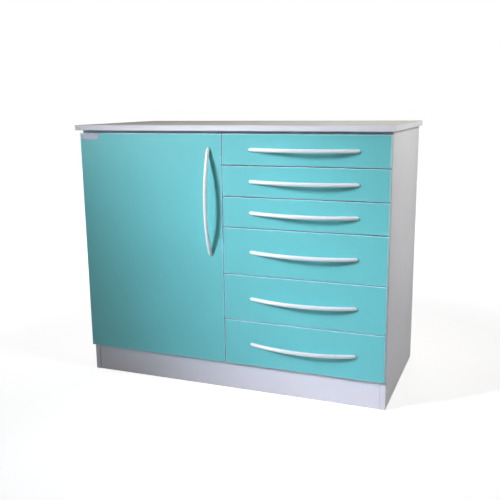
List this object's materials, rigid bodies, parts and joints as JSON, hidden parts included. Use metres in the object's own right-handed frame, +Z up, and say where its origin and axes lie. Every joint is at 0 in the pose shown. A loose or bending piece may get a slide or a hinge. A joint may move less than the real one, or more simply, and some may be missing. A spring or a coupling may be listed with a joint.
{
  "type": "floor cabinet with a door and drawers",
  "caption": "White floor cabinet for a dental surgery or laboratory, with a turquoise hinged door on its left, a stack of turquoise drawers on its right, white bow handles and a thin worktop.",
  "frame": {"origin": "on the floor, in the middle of the whole object's box", "axes": "+X to the right as seen from the front, along the width; the fronts face -Y; +Z up"},
  "size_m": [1.02, 0.5352, 0.831],
  "materials": {
    "white_melamine": "chipboard faced with smooth white melamine film, satin",
    "white_hardboard": "thin hardboard lacquered white, satin",
    "turquoise_board": "board faced with satin turquoise film, edged in pale grey plastic",
    "white_lacquered_metal": "die cast metal lacquered glossy white",
    "zinc_plated_steel": "bright zinc plating",
    "nickel_plated_steel": "nickel plating",
    "satin_aluminium": "satin",
    "beech": "bare wood"
  },
  "bodies": {
    "carcass": {"worktop": "white_melamine", "side_panel_left": "white_melamine", "side_panel_right": "white_melamine", "centre_partition": "white_melamine", "bottom_panel": "white_melamine", "top_rail_front": "white_melamine", "top_rail_rear": "white_melamine", "back_panel": "white_hardboard", "plinth_board": "white_melamine", "shelf": "white_melamine", "shelf_pins": "nickel_plated_steel", "joint_dowels": "beech", "worktop_screws": "zinc_plated_steel", "runner_rails_left": "zinc_plated_steel", "runner_rails_right": "zinc_plated_steel", "hinge_arms": "nickel_plated_steel", "hinge_mounts": "nickel_plated_steel"},
    "door_links": {"hinge_links": "nickel_plated_steel", "hinge_pins": "nickel_plated_steel"},
    "door": {"door_panel": "turquoise_board", "door_handle": "white_lacquered_metal", "door_handle_screws": "zinc_plated_steel", "door_plate": "satin_aluminium", "hinge_cups": "nickel_plated_steel"},
    "drawer_1": {"drawer_1_front": "turquoise_board", "drawer_1_box": "white_melamine", "drawer_1_handle": "white_lacquered_metal", "drawer_1_screws": "zinc_plated_steel", "drawer_1_rails": "zinc_plated_steel"},
    "drawer_1_slides": {"drawer_1_middle_rails": "zinc_plated_steel"},
    "drawer_2": {"drawer_2_front": "turquoise_board", "drawer_2_box": "white_melamine", "drawer_2_handle": "white_lacquered_metal", "drawer_2_screws": "zinc_plated_steel", "drawer_2_rails": "zinc_plated_steel"},
    "drawer_2_slides": {"drawer_2_middle_rails": "zinc_plated_steel"},
    "drawer_3": {"drawer_3_front": "turquoise_board", "drawer_3_box": "white_melamine", "drawer_3_handle": "white_lacquered_metal", "drawer_3_screws": "zinc_plated_steel", "drawer_3_rails": "zinc_plated_steel"},
    "drawer_3_slides": {"drawer_3_middle_rails": "zinc_plated_steel"},
    "drawer_4": {"drawer_4_front": "turquoise_board", "drawer_4_box": "white_melamine", "drawer_4_handle": "white_lacquered_metal", "drawer_4_screws": "zinc_plated_steel", "drawer_4_rails": "zinc_plated_steel"},
    "drawer_4_slides": {"drawer_4_middle_rails": "zinc_plated_steel"},
    "drawer_5": {"drawer_5_front": "turquoise_board", "drawer_5_box": "white_melamine", "drawer_5_handle": "white_lacquered_metal", "drawer_5_screws": "zinc_plated_steel", "drawer_5_rails": "zinc_plated_steel"},
    "drawer_5_slides": {"drawer_5_middle_rails": "zinc_plated_steel"},
    "drawer_6": {"drawer_6_front": "turquoise_board", "drawer_6_box": "white_melamine", "drawer_6_handle": "white_lacquered_metal", "drawer_6_screws": "zinc_plated_steel", "drawer_6_rails": "zinc_plated_steel"},
    "drawer_6_slides": {"drawer_6_middle_rails": "zinc_plated_steel"}
  },
  "joints": [
    {"name": "door_link_swing", "type": "hinge", "parent": "carcass", "child": "door_links", "pos_m": [-0.464, -0.20667, 0.449], "axis": [0, 0, 1], "range_deg": [0, 28]},
    {"name": "door_swing", "type": "hinge", "parent": "door_links", "child": "door", "pos_m": [-0.4898, -0.21977, 0.449], "axis": [0, 0, -1], "range_deg": [0, 128]},
    {"name": "drawer_1_slide", "type": "slide", "parent": "carcass", "child": "drawer_1", "axis": [0, -1, 0], "range_m": [0, 0.42]},
    {"name": "drawer_1_middle_slide", "type": "slide", "parent": "carcass", "child": "drawer_1_slides", "axis": [0, -1, 0], "range_m": [0, 0.21]},
    {"name": "drawer_2_slide", "type": "slide", "parent": "carcass", "child": "drawer_2", "axis": [0, -1, 0], "range_m": [0, 0.42]},
    {"name": "drawer_2_middle_slide", "type": "slide", "parent": "carcass", "child": "drawer_2_slides", "axis": [0, -1, 0], "range_m": [0, 0.21]},
    {"name": "drawer_3_slide", "type": "slide", "parent": "carcass", "child": "drawer_3", "axis": [0, -1, 0], "range_m": [0, 0.42]},
    {"name": "drawer_3_middle_slide", "type": "slide", "parent": "carcass", "child": "drawer_3_slides", "axis": [0, -1, 0], "range_m": [0, 0.21]},
    {"name": "drawer_4_slide", "type": "slide", "parent": "carcass", "child": "drawer_4", "axis": [0, -1, 0], "range_m": [0, 0.42]},
    {"name": "drawer_4_middle_slide", "type": "slide", "parent": "carcass", "child": "drawer_4_slides", "axis": [0, -1, 0], "range_m": [0, 0.21]},
    {"name": "drawer_5_slide", "type": "slide", "parent": "carcass", "child": "drawer_5", "axis": [0, -1, 0], "range_m": [0, 0.42]},
    {"name": "drawer_5_middle_slide", "type": "slide", "parent": "carcass", "child": "drawer_5_slides", "axis": [0, -1, 0], "range_m": [0, 0.21]},
    {"name": "drawer_6_slide", "type": "slide", "parent": "carcass", "child": "drawer_6", "axis": [0, -1, 0], "range_m": [0, 0.42]},
    {"name": "drawer_6_middle_slide", "type": "slide", "parent": "carcass", "child": "drawer_6_slides", "axis": [0, -1, 0], "range_m": [0, 0.21]}
  ],
  "couplings": [
    {"joint": "door_link_swing", "follows": "door_swing", "ratio": 0.21875},
    {"joint": "drawer_1_middle_slide", "follows": "drawer_1_slide", "ratio": 0.5},
    {"joint": "drawer_2_middle_slide", "follows": "drawer_2_slide", "ratio": 0.5},
    {"joint": "drawer_3_middle_slide", "follows": "drawer_3_slide", "ratio": 0.5},
    {"joint": "drawer_4_middle_slide", "follows": "drawer_4_slide", "ratio": 0.5},
    {"joint": "drawer_5_middle_slide", "follows": "drawer_5_slide", "ratio": 0.5},
    {"joint": "drawer_6_middle_slide", "follows": "drawer_6_slide", "ratio": 0.5}
  ]
}
